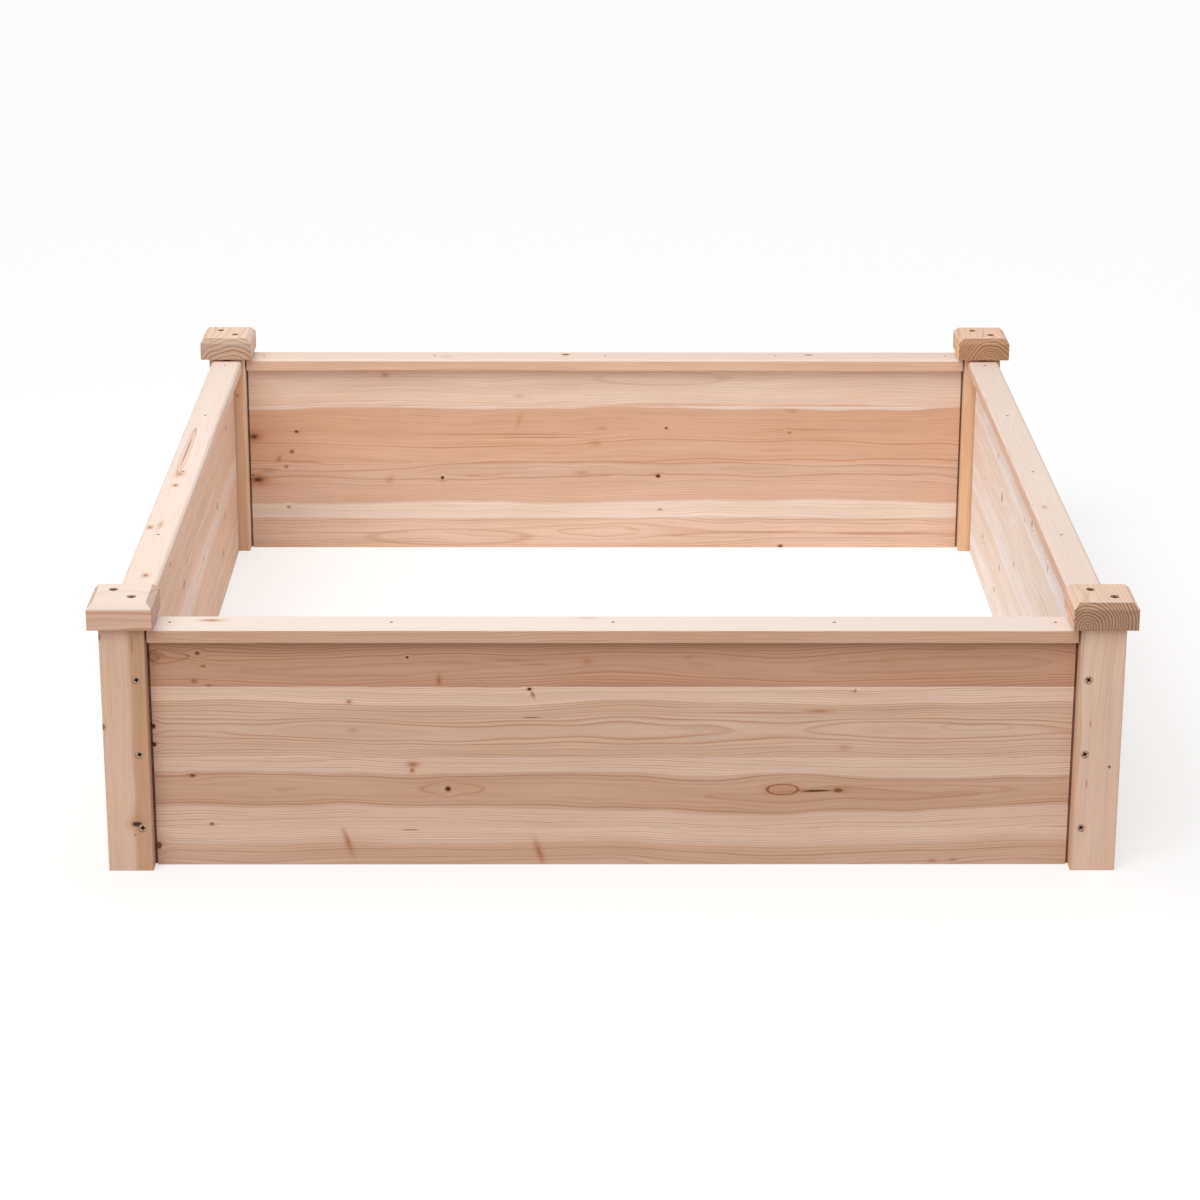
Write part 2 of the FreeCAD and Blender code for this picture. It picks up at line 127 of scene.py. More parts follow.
def make_mark_group():
    """The grain round one mark: the lines part round it, and it has a core and a halo of resin."""
    tree = bpy.data.node_groups.new("grain_mark", "ShaderNodeTree")
    for name in ("Vector", "Centre", "Along", "Across", "Through"):
        tree.interface.new_socket(name, in_out="INPUT", socket_type="NodeSocketVector")
    for name in ("Ragged", "Hollow", "Soft", "Push"):
        tree.interface.new_socket(name, in_out="INPUT", socket_type="NodeSocketFloat")
    for name, kind in (("Vector", "NodeSocketVector"), ("Core", "NodeSocketFloat"),
                       ("Halo", "NodeSocketFloat")):
        tree.interface.new_socket(name, in_out="OUTPUT", socket_type=kind)
    given = add_node(tree, "NodeGroupInput").outputs
    offset = add_node(tree, "ShaderNodeVectorMath", {0: given["Vector"], 1: given["Centre"]},
                      operation="SUBTRACT").outputs[0]
    parts = {}
    for part, name in (("X", "Along"), ("Y", "Across"), ("Z", "Through")):
        parts[part] = add_node(tree, "ShaderNodeVectorMath", {0: offset, 1: given[name]},
                               operation="DOT_PRODUCT").outputs["Value"]
    shaped = add_node(tree, "ShaderNodeCombineXYZ", parts).outputs[0]
    away = add_node(tree, "ShaderNodeVectorMath", {0: shaped}, operation="LENGTH").outputs["Value"]
    rim = add_node(tree, "ShaderNodeMath", {0: away, 1: given["Ragged"]}, operation="MULTIPLY").outputs[0]
    inner = add_node(tree, "ShaderNodeMath", {0: 1.0, 1: given["Soft"]}, operation="SUBTRACT").outputs[0]
    disc = add_node(tree, "ShaderNodeMapRange",
                    {"Value": rim, "From Min": inner, "From Max": CORE_END, "To Min": 1.0, "To Max": 0.0},
                    interpolation_type="SMOOTHSTEP").outputs[0]
    middle = add_node(tree, "ShaderNodeMapRange",
                      {"Value": rim, "From Min": OUTLINE[0], "From Max": OUTLINE[1],
                       "To Min": 1.0, "To Max": 0.0}, interpolation_type="SMOOTHSTEP").outputs[0]
    middle = add_node(tree, "ShaderNodeMath", {0: middle, 1: given["Hollow"]},
                      operation="MULTIPLY").outputs[0]
    middle = add_node(tree, "ShaderNodeMath", {0: 1.0, 1: middle}, operation="SUBTRACT").outputs[0]
    core = add_node(tree, "ShaderNodeMath", {0: disc, 1: middle}, operation="MULTIPLY").outputs[0]
    halo = add_node(tree, "ShaderNodeMapRange",
                    {"Value": away, "From Min": HALO[0], "From Max": HALO[1], "To Min": 1.0, "To Max": 0.0},
                    interpolation_type="SMOOTHSTEP").outputs[0]
    parting = add_node(tree, "ShaderNodeMapRange",
                       {"Value": away, "From Min": PARTING[0], "From Max": PARTING[1],
                        "To Min": given["Push"], "To Max": 0.0}, interpolation_type="SMOOTHSTEP").outputs[0]
    side = add_node(tree, "ShaderNodeVectorMath", {0: offset, 1: (0, 0, 1)}, operation="MULTIPLY").outputs[0]
    push = add_node(tree, "ShaderNodeVectorMath", {0: side, "Scale": parting}, operation="SCALE").outputs[0]
    bent = add_node(tree, "ShaderNodeVectorMath", {0: given["Vector"], 1: push},
                    operation="SUBTRACT").outputs[0]
    add_node(tree, "NodeGroupOutput", {"Vector": bent, "Core": core, "Halo": halo})
    return tree


GRAIN_MARK = make_mark_group()
RING_GAP = 2.3            # mm between the latewood lines of slow-grown fir
LATEWOOD = "DCBC9E"       # a latewood line is a little darker and more orange than what it lies in
WARM = "FFFAF3"           # patches of the wood are a little warmer than the rest
RESIN = "E6BC90"          # wood soaked with resin round a knot
BARK_EDGE = "B0744A"      # the outside of a knot, and any streak
KNOT = "452B1E"           # the hard middle of a knot
KNOT_CURVE = 4.0          # how far towards the middle a knot turns hard and dark
KNOT_DEPTH = 9            # mm that a knot reaches into a post
RAGGED_GRAIN = 2.2        # mm, the size of the unevenness of a mark's edge
END_GRAIN = "CCCBC8"      # end grain takes in more light, so it looks browner
END_RING = "C0A894"       # and its latewood arcs are darker still
PAINTED_JOINT_SHADE = "AE9C8E"     # painted shade on the tongues, standing in for the shadow down in the joint between board and post
PAST_SHOULDER = 0.1       # mm past the shoulder before the painted joint shade starts, so that the shoulder keeps the face's colour
PAINTED_TOP_LIGHT = "EBDDD3"     # painted light: the upper faces are painted this pale, standing in for the bright light that falls on them
HEART_EDGE = (-2.5, 3.0)  # mm from the heart's radius, between which it turns into sapwood
PACE = 3.0                # years by which slow and fast growth shift the lines
LATE_SPAN = (0.25, 0.92)  # of a year's ring, over which it darkens towards the latewood line
LATE_CURVE = 2.2          # and how late in the year it does so
END_FACES = (0.55, 0.7)   # how squarely a face has to cross the grain to show end grain
LIT_TOP_FACES = (0.35, 0.7)   # how level a face has to be to take the painted top light

# How the log's centre wanders along the board: how often, per mm, and how far, in mm.
WANDERINGS = (((1 / 320, 1 / 110, 1 / 110), (0, 12, 27)), ((1 / 105, 1 / 26, 1 / 26), (0, 4, 11)))

# Noises along the radius, with the mm that one swell takes, and along the fibres, with how often
# they swell per mm. The last number is the detail. The fibres are drawn at 2 mm, because their real
# width of a few hundredths would not show.
RING_NOISES = {"pace": (22, 0.0), "weight": (3.4, 1.0), "band": (12, 2.0)}
FIBRE_NOISES = {
    "fibre": ((1 / 60, 1 / 2, 1 / 2), 2.0), "streak": ((1 / 260, 1 / 3, 1 / 2.6), 3.0),
    "duct": ((1 / 11, 1 / 0.8, 1 / 0.8), 1.0), "blotch": ((1 / 170, 1 / 30, 1 / 30), 2.0),
}
NOISE_SHARES = {"band": 0.16, "fibre": 0.16, "streak": 0.28, "blotch": 0.14}


def empty_material(name):
    """A new material without nodes, and its tree."""
    material = bpy.data.materials.new(name)
    material.use_nodes = True
    material.node_tree.nodes.clear()
    return material, material.node_tree


def wood(name, box, turn, log, seed, marks=(), tongue=0, face=None):
    """Planed, unfinished fir, cut from a log whose rings are worked out all through the piece.

    The eye sees fine tan lines along the grain, arches where a face cuts the rings flat, a darker
    heart with a wavy edge against pinkish sapwood, knots, and browner end grain with the rings' arcs."""
    material, tree = empty_material(name)
    centre = (box[0] + box[1]) / 2
    end_axis = Euler(turn).to_matrix() @ Vector((1, 0, 0))
    place = add_node(tree, "ShaderNodeTexCoord")
    grain = add_node(tree, "ShaderNodeMapping",
                     {"Vector": place.outputs["Object"], "Location": centre, "Rotation": turn,
                      "Scale": (MM, MM, MM)}, vector_type="TEXTURE").outputs[0]

    # A knot runs right through a thin board, and only a little way into a post from its front face.
    depth, through = (0, (0, 0, 0)) if face is None else (face, (0, 1 / KNOT_DEPTH, 0))
    bent, core, halo = grain, 0.0, 0.0
    if marks:
        ragged = add_node(tree, "ShaderNodeTexNoise", {"Vector": grain, "Scale": 1 / RAGGED_GRAIN,
                                                       "Detail": 1.0}).outputs[0]
    for kind, along, height, half_length, half_height, dark in marks:
        looks = {**PLAIN_MARK, **MARK_KINDS[kind]}
        edge = add_node(tree, "ShaderNodeMath",
                        {0: ragged, 1: looks["ragged"], 2: 1 - looks["ragged"] / 2},
                        operation="MULTIPLY_ADD").outputs[0]
        mark = add_node(tree, "ShaderNodeGroup",
                        {"Vector": bent, "Centre": (along, depth, height), "Through": through,
                         "Along": (1 / half_length, 0, looks["lean"] / half_length),
                         "Across": (0, 0, 1 / half_height), "Ragged": edge, "Hollow": looks["hollow"],
                         "Soft": looks["soft"], "Push": looks["push"]}, node_tree=GRAIN_MARK).outputs
        bent = mark["Vector"]
        seen = add_node(tree, "ShaderNodeMath", {0: mark["Core"], 1: dark}, operation="MULTIPLY").outputs[0]
        core = add_node(tree, "ShaderNodeMath", {0: core, 1: seen}, operation="MAXIMUM").outputs[0]
        glow = add_node(tree, "ShaderNodeMath", {0: mark["Halo"], 1: dark * looks["resin"]},
                        operation="MULTIPLY").outputs[0]
        halo = add_node(tree, "ShaderNodeMath", {0: halo, 1: glow}, operation="MAXIMUM").outputs[0]

    for pitch, reach in WANDERINGS:
        scaled = add_node(tree, "ShaderNodeVectorMath", {0: grain, 1: pitch}, operation="MULTIPLY").outputs[0]
        noise = add_node(tree, "ShaderNodeTexNoise", {"Vector": scaled, "W": seed, "Scale": 1.0,
                                                      "Detail": 1.0},
                         noise_dimensions="4D").outputs["Color"]
        half = tuple(-0.5 * x for x in reach)
        moved = add_node(tree, "ShaderNodeVectorMath", {0: noise, 1: reach, 2: half},
                         operation="MULTIPLY_ADD").outputs[0]
        bent = add_node(tree, "ShaderNodeVectorMath", {0: bent, 1: moved}, operation="ADD").outputs[0]

    from_pith = add_node(tree, "ShaderNodeVectorMath", {0: bent, 1: (0, *log["pith"])},
                         operation="SUBTRACT").outputs[0]
    section = add_node(tree, "ShaderNodeVectorMath", {0: from_pith, 1: (0, 1, 1)},
                       operation="MULTIPLY").outputs[0]
    radius = add_node(tree, "ShaderNodeVectorMath", {0: section}, operation="LENGTH").outputs["Value"]

    noises = {}
    for layer, (gap, detail) in RING_NOISES.items():
        along_radius = add_node(tree, "ShaderNodeMath", {0: radius, 1: 1 / gap, 2: seed + gap},
                                operation="MULTIPLY_ADD").outputs[0]
        noises[layer] = add_node(tree, "ShaderNodeTexNoise", {"W": along_radius, "Scale": 1.0,
                                                              "Detail": detail},
                                 noise_dimensions="1D").outputs[0]
    count = add_node(tree, "ShaderNodeMath", {0: radius, 1: log.get("ring_gap", RING_GAP)},
                     operation="DIVIDE").outputs[0]
    uneven = add_node(tree, "ShaderNodeMath", {0: noises["pace"], 1: PACE, 2: count},
                      operation="MULTIPLY_ADD").outputs[0]
    season = add_node(tree, "ShaderNodeMath", {0: uneven}, operation="FRACT").outputs[0]
    late = add_node(tree, "ShaderNodeMapRange", {"Value": season, "From Min": LATE_SPAN[0],
                                                 "From Max": LATE_SPAN[1]}).outputs[0]
    late = add_node(tree, "ShaderNodeMath", {0: late, 1: LATE_CURVE}, operation="POWER").outputs[0]
    weight = add_node(tree, "ShaderNodeMapRange",
                      {"Value": noises["weight"], "From Min": 0.35, "From Max": 0.68,
                       "To Min": 0.25, "To Max": 1.0}).outputs[0]
    line = add_node(tree, "ShaderNodeMath", {0: late, 1: weight}, operation="MULTIPLY").outputs[0]
    # Where a face lies along the rings, a line spreads over a wide arch and turns faint.
    beside = add_node(tree, "ShaderNodeSeparateXYZ", {0: section}).outputs["Z"]
    beside = add_node(tree, "ShaderNodeMath", {0: beside}, operation="ABSOLUTE").outputs[0]
    slope = add_node(tree, "ShaderNodeMath", {0: beside, 1: radius}, operation="DIVIDE").outputs[0]
    crisp = add_node(tree, "ShaderNodeMapRange", {"Value": slope, "From Max": 0.4, "To Min": 0.3}).outputs[0]
    line = add_node(tree, "ShaderNodeMath", {0: line, 1: crisp}, operation="MULTIPLY").outputs[0]
    line = add_node(tree, "ShaderNodeMath", {0: line, 1: log.get("lines", 1.0)},
                    operation="MULTIPLY").outputs[0]

    for layer, (pitch, detail) in FIBRE_NOISES.items():
        scaled = add_node(tree, "ShaderNodeVectorMath", {0: bent, 1: pitch}, operation="MULTIPLY").outputs[0]
        noises[layer] = add_node(tree, "ShaderNodeTexNoise",
                                 {"Vector": scaled, "W": seed, "Scale": 1.0, "Detail": detail},
                                 noise_dimensions="4D").outputs[0]

    inner, outer = (log["heart_radius"] + x for x in HEART_EDGE)
    heart = add_node(tree, "ShaderNodeMapRange",
                     {"Value": radius, "From Min": inner, "From Max": outer,
                      "To Min": 1.0, "To Max": 0.0}, interpolation_type="SMOOTHSTEP").outputs[0]
    # What lies over the colour of the sapwood, in this order: how much of it, its colour, and how.
    layers = [(heart, linear(log["heart"]), "MIX")]
    if "outside" in log:
        # Half a board's thickness is darker: the half that is turned outwards. This makes the inner face a
        # painted lit copy of the outer one, standing in for the strong light inside the bed.
        inwards = add_node(tree, "ShaderNodeSeparateXYZ", {0: grain}).outputs["Y"]
        outwards = add_node(tree, "ShaderNodeMath", {0: inwards, 1: 0.0}, operation="LESS_THAN").outputs[0]
        layers.append((outwards, linear(log["outside"]), "MULTIPLY"))
    bright = 1.0 - sum(NOISE_SHARES.values()) / 2
    for layer, share in NOISE_SHARES.items():
        bright = add_node(tree, "ShaderNodeMath", {0: noises[layer], 1: share, 2: bright},
                          operation="MULTIPLY_ADD").outputs[0]
    patch = add_node(tree, "ShaderNodeMapRange", {"Value": noises["blotch"], "From Min": 0.4, "From Max": 0.7,
                                                  "To Min": 1.0, "To Max": 0.0}).outputs[0]
    dash = add_node(tree, "ShaderNodeMapRange",
                    {"Value": noises["duct"], "From Min": 0.64, "From Max": 0.8, "To Max": 0.3}).outputs[0]
    layers += [(line, linear(LATEWOOD), "MULTIPLY"), (1.0, bright, "MULTIPLY"),
               (patch, linear(WARM), "MULTIPLY"), (dash, linear(BARK_EDGE), "MIX")]
    facing = add_node(tree, "ShaderNodeVectorMath", {0: place.outputs["Normal"], 1: end_axis},
                      operation="DOT_PRODUCT").outputs["Value"]
    facing = add_node(tree, "ShaderNodeMath", {0: facing}, operation="ABSOLUTE").outputs[0]
    end = add_node(tree, "ShaderNodeMapRange",
                   {"Value": facing, "From Min": END_FACES[0], "From Max": END_FACES[1],
                    "To Max": log.get("ends", 1.0)}).outputs[0]
    rings = add_node(tree, "ShaderNodeMath", {0: end, 1: late}, operation="MULTIPLY").outputs[0]
    rings = add_node(tree, "ShaderNodeMath", {0: rings, 1: log.get("arcs", 1.0)},
                     operation="MULTIPLY").outputs[0]
    layers += [(end, linear(END_GRAIN), "MULTIPLY"), (rings, linear(END_RING), "MULTIPLY")]
    # Painted light: level faces are mixed towards a pale colour, standing in for the bright light that falls
    # on the tops.
    if "painted_top_light" in log:
        level = add_node(tree, "ShaderNodeVectorMath", {0: place.outputs["Normal"], 1: (0, 0, 1)},
                         operation="DOT_PRODUCT").outputs["Value"]
        pale = add_node(tree, "ShaderNodeMapRange",
                        {"Value": level, "From Min": LIT_TOP_FACES[0], "From Max": LIT_TOP_FACES[1],
                         "To Max": log["painted_top_light"]}).outputs[0]
        side = add_node(tree, "ShaderNodeMath", {0: 1.0, 1: end}, operation="SUBTRACT").outputs[0]
        pale = add_node(tree, "ShaderNodeMath", {0: pale, 1: side}, operation="MULTIPLY").outputs[0]
        layers.append((pale, linear(PAINTED_TOP_LIGHT), "MIX"))
    if marks:
        hard = add_node(tree, "ShaderNodeMath", {0: core, 1: KNOT_CURVE}, operation="POWER").outputs[0]
        layers += [(halo, linear(RESIN), "MULTIPLY"), (core, linear(BARK_EDGE), "MIX"),
                   (hard, linear(KNOT), "MIX")]
    # Painted shade: the tongues beyond the shoulders are darkened, standing in for the shadow down in the
    # joint.
    if tongue:
        shoulder = max(box[1] - box[0]) / 2 / MM - tongue
        away = add_node(tree, "ShaderNodeSeparateXYZ", {0: grain}).outputs["X"]
        away = add_node(tree, "ShaderNodeMath", {0: away}, operation="ABSOLUTE").outputs[0]
        joint_shade = add_node(tree, "ShaderNodeMath", {0: away, 1: shoulder + PAST_SHOULDER},
                             operation="GREATER_THAN").outputs[0]
        layers.append((joint_shade, linear(PAINTED_JOINT_SHADE), "MULTIPLY"))
    colour = linear(log["sap"])
    for share, tint, blend in layers:
        colour = add_node(tree, "ShaderNodeMix", {0: share, 6: colour, 7: tint},
                          data_type="RGBA", blend_type=blend).outputs[2]

    height = add_node(tree, "ShaderNodeMath", {0: line, 1: 0.6, 2: noises["fibre"]},
                      operation="MULTIPLY_ADD").outputs[0]
    bump = add_node(tree, "ShaderNodeBump", {"Strength": 0.35, "Distance": 0.25 * MM,
                                             "Height": height}).outputs[0]
    rough = add_node(tree, "ShaderNodeMapRange",
                     {"Value": noises["fibre"], "To Min": 0.55, "To Max": 0.72}).outputs[0]
    surface = add_node(tree, "ShaderNodeBsdfPrincipled",
                       {"Base Color": colour, "Roughness": rough, "Normal": bump, "IOR": 1.45,
                        "Specular IOR Level": 0.35, "Sheen Weight": 0.1, "Sheen Roughness": 0.5})
    add_node(tree, "ShaderNodeOutputMaterial", {"Surface": surface.outputs[0]})
    return material


def on_one_side(edge, low, high):
    """True for an edge that lies flat in one of the six sides of a box."""
    ends = [v.co for v in edge.verts]
    return any(all(abs(co[i] - side[i]) < 0.01 * MM for co in ends) for i in range(3) for side in (low, high))


def dress(node, arris, shortest, material, rim=0.0):
    """A copy of one piece, its long arrises and the rims of its screw holes eased, in its place."""
    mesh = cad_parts[node].data.copy()
    shape = bmesh.new()
    shape.from_mesh(mesh)
    bmesh.ops.remove_doubles(shape, verts=shape.verts, dist=SAME_POINT)
    bmesh.ops.dissolve_limit(shape, angle_limit=FLAT_ANGLE, verts=shape.verts, edges=shape.edges)
    low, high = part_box(node)
    sharp = [e for e in shape.edges
             if e.is_manifold and e.is_convex and e.calc_face_angle() > SHARP_ANGLE]
    arrises = [e for e in sharp if e.calc_length() > shortest]
    rims = [e for e in sharp if e.calc_length() < LONGEST_RIM_EDGE and on_one_side(e, low, high)]
    for edges, ease in ((arrises, arris), (rims if rim else [], rim)):
        bmesh.ops.bevel(shape, geom=edges, offset=ease, offset_type="OFFSET", segments=2, profile=0.5,
                        affect="EDGES", clamp_overlap=True)
    shape.to_mesh(mesh)
    shape.free()
    if "custom_normal" in mesh.attributes:
        mesh.attributes.remove(mesh.attributes["custom_normal"])
    mesh.shade_flat()
    mesh.materials.clear()
    mesh.materials.append(material)
    piece = bpy.data.objects.new(node + "_timber", mesh)
    bpy.context.scene.collection.objects.link(piece)
    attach(piece, "root")
    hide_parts(node)


for number, (node, log) in enumerate(POST_LOGS.items()):
    fir = wood("planed_fir_" + node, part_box(node), POST_TURN, log, POST_SEED + number, POST_MARKS[node],
               face=POST_FRONT)
    dress(node, POST_ARRIS, POST_SHORTEST_EDGE, fir, SCREW_RIM)

# ----------------------------------------------------------------------------------------------
# Wall boards. Sixteen planed fir boards, four to a wall, glued edge to edge and flush, so that a
# joint shows as a fine line and a change of grain. The ends are tongues in the posts' grooves.
# ----------------------------------------------------------------------------------------------
BOARD_ARRIS = 0.25 * MM
BOARD_SHORTEST_EDGE = 200 * MM
TONGUE = 20               # mm at each end of a board
BOARD_SEED = 20.0
WALL_TURNS = {"front": 0, "right": 90, "back": 180, "left": 270}

# Bottom board first: the pith's depth (outwards is less than 0) and height from the board's middle.
BOARD_LOGS = {
    "front": (
        {"pith": (16, -27), "heart_radius": 42, "heart": "D7B199", "sap": "E9CAB9"},
        {"pith": (16, 3), "heart_radius": 33, "heart": "CFA78E", "sap": "E5C5B3"},
        {"pith": (16, -11), "heart_radius": 42, "heart": "D9B6A0", "sap": "EBCCBB"},
        {"pith": (18, -4), "heart_radius": 80, "heart": "C99C81", "sap": "DDB79E"},
    ),
    "right": (
        {"pith": (-14, 4), "heart_radius": 22}, {"pith": (-18, -12), "heart_radius": 40},
        {"pith": (22, 9), "heart_radius": 44}, {"pith": (-16, 6), "heart_radius": 30},
    ),
    # The back boards are painted paler, as painted light for the light that falls inside the bed.
    "back": (
        {"pith": (-16, 2), "heart_radius": 60, "heart": "E1C2AE", "sap": "E7D5CC"},
        {"pith": (-11, 30), "heart_radius": 53, "heart": "D8B59F", "sap": "E7D6CD"},
        {"pith": (-11, -30), "heart_radius": 72, "heart": "D6AE92", "sap": "E7D6CD"},
        {"pith": (-11, -50), "heart_radius": 30, "heart": "DCB69D", "sap": "E6CDBC"},
    ),
    "left": (
        {"pith": (-15, 6), "heart_radius": 30}, {"pith": (20, -8), "heart_radius": 38},
        {"pith": (-17, 12), "heart_radius": 44}, {"pith": (-15, -5), "heart_radius": 34},
    ),
}

# What all the boards of a wall share. The right and left walls' colours are painted pale, as painted light
# for the strong light on their inner faces. On the right and back walls the side turned outwards is darker
# again.
WALL_LOOKS = {
    "front": {},
    "right": {"heart": "F2E6DF", "sap": "F6F0F1", "outside": "F0D8C5"},
    "back": {"lines": 0.75, "outside": "F8E9DC"},
    "left": {"heart": "F1CFB8", "sap": "F5E0D3"},
}

# Places are along the wall from its middle, seen from outside, and then above the ground.
BOARD_MARKS = {
    "front_board_4": (
        ("ring", -538, 265, 7, 4.5, 1.0), ("lens", -520, 266, 24, 6, 0.7), ("knot", -486, 270, 3, 2.6, 0.9),
        ("knot", -480, 254, 3.5, 2, 0.7), ("knot", -491, 235, 4, 2.4, 0.7), ("knot", -474, 229, 3, 1.8, 0.7),
        ("knot", -241, 265, 1.8, 1.8, 1.0), ("smudge", -204, 236, 3.5, 8, 0.8),
        ("streak", -118, 261, 26, 1.2, 0.45), ("streak", -92, 256, 22, 1.2, 0.45),
        ("smudge", -30, 260, 7, 5, 0.5), ("lens", 405, 276, 16, 2.6, 0.5), ("smudge", 87, 265, 7, 3, 0.35),
    ),
    "front_board_3": (
        ("knot", -541, 178, 3, 3.5, 1.0), ("knot", -541, 155, 3, 3, 1.0), ("smudge", -310, 209, 4, 3, 0.8),
        ("smudge", -306, 173, 7, 4, 0.3), ("knot", -98, 225, 2.8, 2.2, 1.0),
        ("branch", -94, 219, 2.4, 6, 0.9), ("knot", 285, 223, 2, 1.6, 0.7),
        ("streak", -96, 189, 14, 0.9, 0.8), ("streak", 175, 195, 80, 1, 0.5),
        ("smudge", 243, 197, 20, 3, 0.6), ("smudge", 274, 151, 9, 5, 0.35), ("lens", 430, 177, 42, 5, 0.25),
    ),
    "front_board_2": (
        ("knot", -497, 115, 3.5, 1.8, 0.95), ("knot", -476, 53, 2.5, 2, 0.8),
        ("smudge", -237, 122, 4, 5, 0.8), ("smudge", -236, 129, 9, 5, 0.75),
        ("knot", -195, 98, 3.6, 3.6, 1.0), ("lens", -190, 98, 38, 7.5, 0.4), ("ring", 202, 97, 19, 7, 0.95),
        ("streak", 243, 96, 26, 1.1, 1.0), ("knot", 268, 96, 6.5, 2.4, 0.9), ("lens", 372, 97, 105, 6, 0.28),
    ),
    "front_board_1": (
        ("knot", -540, 25, 3.5, 5, 0.9), ("branch", -315, 30, 4.2, 21, 0.65),
        ("branch", -87, 16, 4.6, 18, 0.7), ("smudge", 382, 5, 6, 3, 0.5), ("smudge", 407, 6, 5, 3, 0.5),
        ("streak", -240, 45, 12, 0.8, 0.8),
    ),
    "back_board_4": (
        ("smudge", 334, 277, 7, 5, 0.5), ("smudge", 131, 244, 9, 4, 0.3), ("lens", -85, 272, 100, 11, 0.2),
    ),
    "back_board_3": (
        ("smudge", 536, 179, 14, 10, 1.0), ("knot", 539, 180, 4, 3, 0.75), ("knot", 471, 187, 3, 2.4, 0.95),
        ("knot", 479, 155, 3.5, 3, 0.8), ("branch", 499, 143, 4, 6, 0.6), ("branch", 131, 205, 4, 12, 0.3),
        ("knot", -94, 193, 2.6, 2, 0.9), ("smudge", 14, 169, 10, 6, 0.4), ("smudge", 4, 193, 8, 4, 0.3),
        ("knot", -282, 186, 3, 2, 0.6), ("smudge", -286, 220, 9, 4, 0.3),
        ("streak", -300, 191, 55, 1.2, 0.5), ("streak", 150, 183, 160, 1, 0.5),
        ("streak", 100, 178, 90, 1, 0.5),
    ),
    "back_board_2": (
        ("knot", 488, 131, 3, 2.4, 0.7), ("smudge", 532, 110, 20, 11, 1.0), ("knot", 539, 117, 3, 2, 0.8),
        ("smudge", 516, 124, 14, 5, 0.4), ("knot", 486, 66, 3, 2.4, 0.6), ("knot", 249, 113, 2.6, 3.2, 1.0),
        ("branch", 330, 110, 7, 8, 0.35), ("knot", -82, 116, 4, 3, 1.0), ("smudge", 35, 121, 12, 5, 0.4),
        ("knot", -85, 62, 3, 2, 0.5), ("lens", 100, 117, 110, 4, 0.3),
    ),
    "back_board_1": (
        ("lens", 240, 17, 125, 13, 0.35), ("lens", -330, 20, 230, 5, 0.35), ("knot", -272, 2, 4, 3, 0.9),
        ("streak", 380, 24, 110, 1, 0.4), ("streak", -240, 25, 105, 2.4, 0.45),
        ("streak", -430, 23, 110, 3, 0.48),
    ),
    "left_board_4": (
        ("knot", -432, 233, 3.6, 4.8, 0.7), ("knot", -10, 272, 4, 4.5, 0.7), ("knot", 122, 264, 3, 4.5, 0.6),
        ("knot", 226, 255, 6.6, 5.2, 0.7),
    ),
    "left_board_3": (
        ("knot", -287, 159, 4.2, 5.1, 0.8), ("knot", -114, 139, 4.5, 4.8, 0.6),
        ("knot", 101, 182, 6, 6, 0.7), ("streak", 330, 170, 60, 1.2, 0.5),
    ),
    "left_board_2": (
        ("knot", -378, 114, 3.6, 4.8, 0.8), ("knot", -338, 70, 4.8, 5.4, 0.8),
        ("knot", 180, 88, 2.5, 3, 0.7), ("streak", 60, 100, 90, 1.2, 0.4),
    ),
    "left_board_1": (("knot", -90, 20, 5.5, 4.2, 0.7), ("knot", 310, 26, 5, 4, 0.6)),
    "right_board_4": (
        ("knot", 272, 242, 3.5, 4.2, 0.7), ("knot", 110, 272, 4.5, 4.8, 0.6), ("knot", -71, 255, 6, 5, 0.7),
        ("knot", -3, 237, 3, 4, 0.6), ("knot", -219, 246, 4, 4.5, 0.7),
    ),
    "right_board_3": (
        ("knot", 399, 166, 2.5, 3.8, 0.7), ("knot", 217, 196, 6.6, 6.3, 0.7),
        ("knot", 78, 145, 3.5, 4.2, 0.7), ("streak", -200, 190, 80, 1.2, 0.4),
    ),
    "right_board_2": (
        ("knot", 399, 75, 4.5, 4.8, 0.7), ("knot", 217, 90, 5, 5, 0.7), ("knot", -260, 104, 3, 3.2, 0.6),
    ),
    "right_board_1": (("knot", 260, 41, 4, 3.6, 0.7), ("knot", -120, 22, 4, 4, 0.6)),
}

for wall, logs in BOARD_LOGS.items():
    turn = math.radians(WALL_TURNS[wall])
    for number, log in enumerate(logs, start=1):
        node = f"{wall}_board_{number}"
        low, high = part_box(node)
        middle = (low.z + high.z) / 2 / MM
        marks = [(kind, along, height - middle, *rest) for kind, along, height, *rest in BOARD_MARKS[node]]
        fir = wood("planed_fir_" + node, (low, high), (0, 0, turn), {**log, **WALL_LOOKS[wall]},
                   BOARD_SEED + WALL_TURNS[wall] / 9 + number, marks, tongue=TONGUE)
        dress(node, BOARD_ARRIS, BOARD_SHORTEST_EDGE, fir)

# ----------------------------------------------------------------------------------------------
# Top rails. Four flat fir battens with eased upper edges, laid along the walls' top edges and
# nailed down from above. Their upper faces are painted paler, as painted light from above; the edges show
# darker, closer grain.
# ----------------------------------------------------------------------------------------------
RAIL_ARRIS = 0.8 * MM
RAIL_SHORTEST_EDGE = 10 * MM
RAIL_SEED = 60.0
# Each rail's top is painted paler by its own share, as painted light from above.
RAIL_LOGS = {
    "front": {"pith": (30, 6), "heart_radius": 26, "heart": "C99B7D", "sap": "D8AF95", "painted_top_light": 0.9},
    "right": {"pith": (26, -9), "heart_radius": 20, "heart": "DDB79F", "sap": "E0BDA8", "painted_top_light": 0.7},
    "back": {"pith": (28, 4), "heart_radius": 24, "heart": "D7AD92", "sap": "DEBCA5", "painted_top_light": 0.6},
    "left": {"pith": (24, 3), "heart_radius": 22, "heart": "E8C3AD", "sap": "EED4C3", "painted_top_light": 0.62},
}
